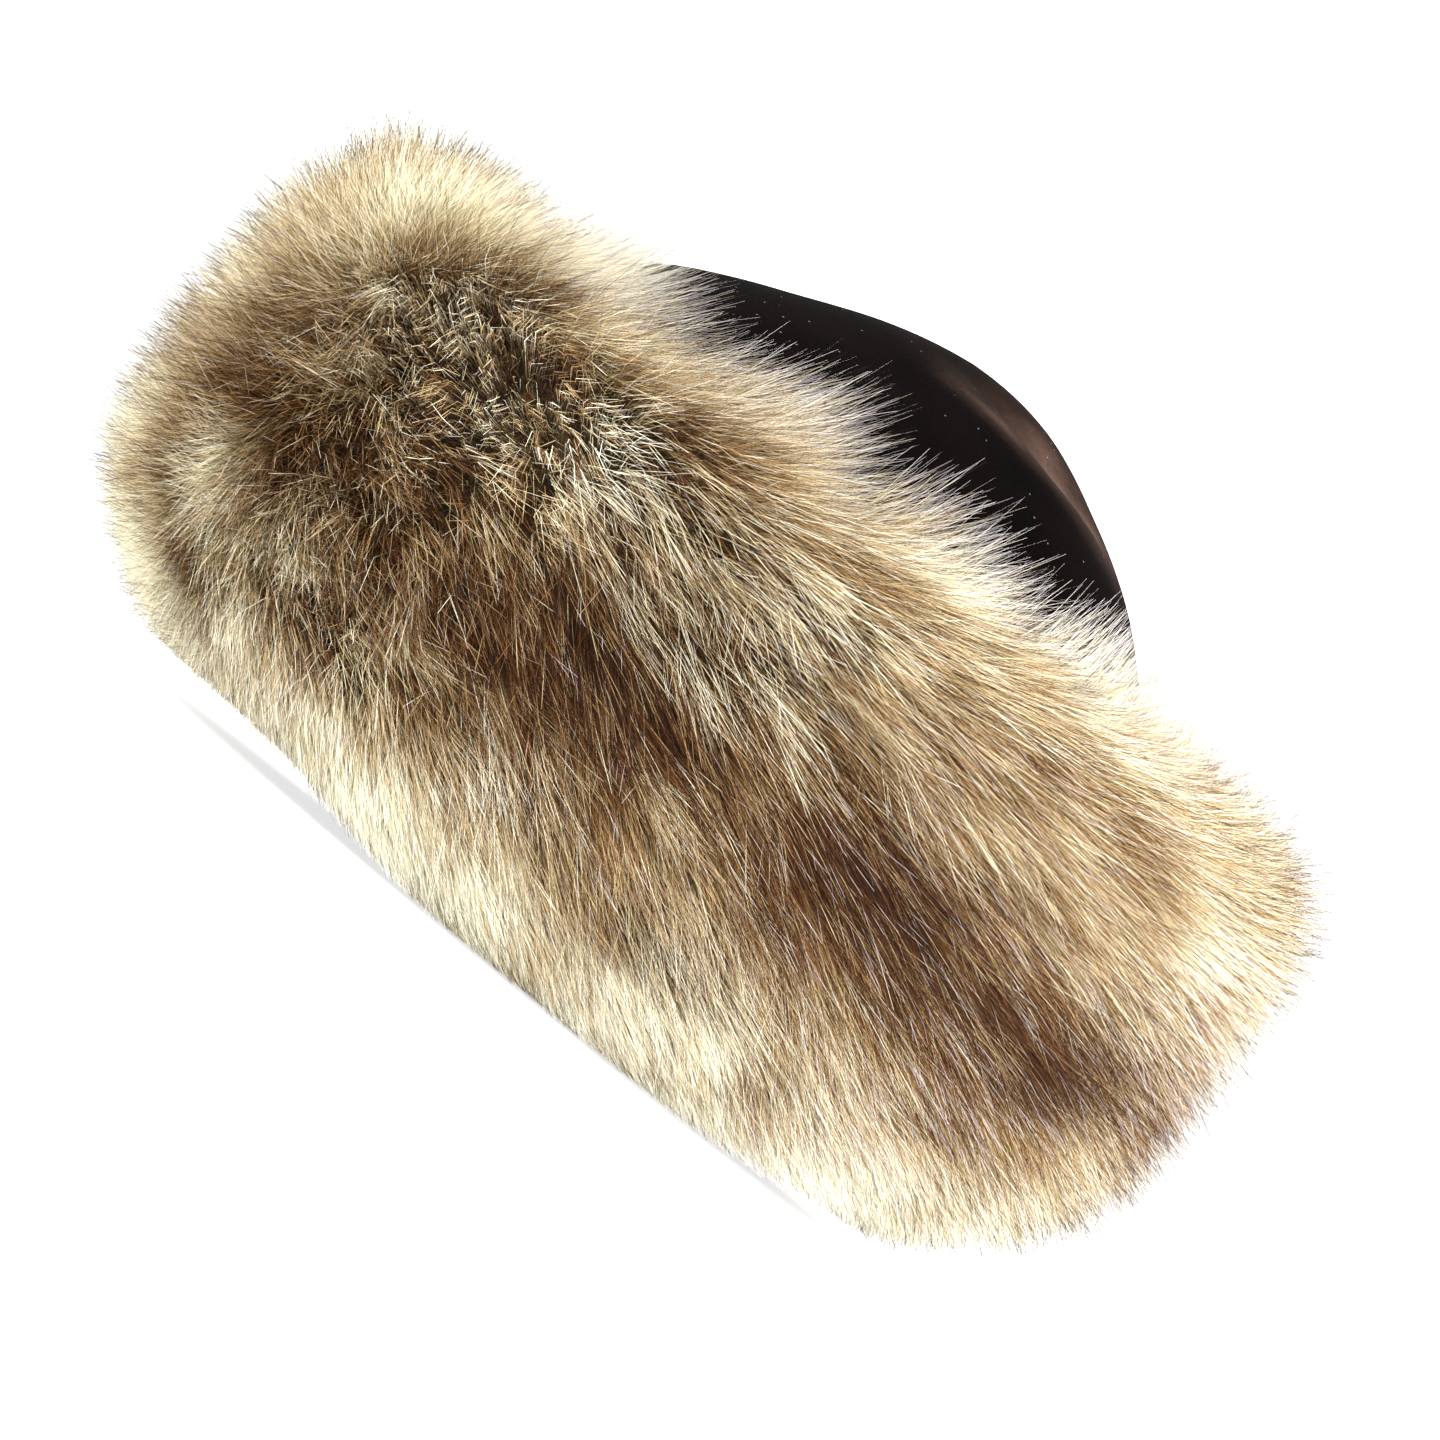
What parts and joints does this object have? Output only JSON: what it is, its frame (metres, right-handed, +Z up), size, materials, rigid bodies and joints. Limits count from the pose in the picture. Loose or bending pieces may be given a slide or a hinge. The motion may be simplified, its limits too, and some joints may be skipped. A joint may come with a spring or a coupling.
{
  "type": "fur hat",
  "caption": "Round winter hat with a low soft velvet crown inside a broad, deep band of long faux fur, without flaps or ties.",
  "frame": {"origin": "middle of the hat on the surface that it rests on", "axes": "+Z up out of the crown, -Y towards the front of the hat, +X towards the wearer's left"},
  "size_m": [0.3144, 0.3458, 0.182],
  "materials": {
    "velvet": "dark brown velvet, matt",
    "faux_fur": "long faux fur, cream and brown with a darker stripe"
  },
  "bodies": {
    "root": {"crown": "velvet", "fur_band": "faux_fur"}
  },
  "joints": []
}
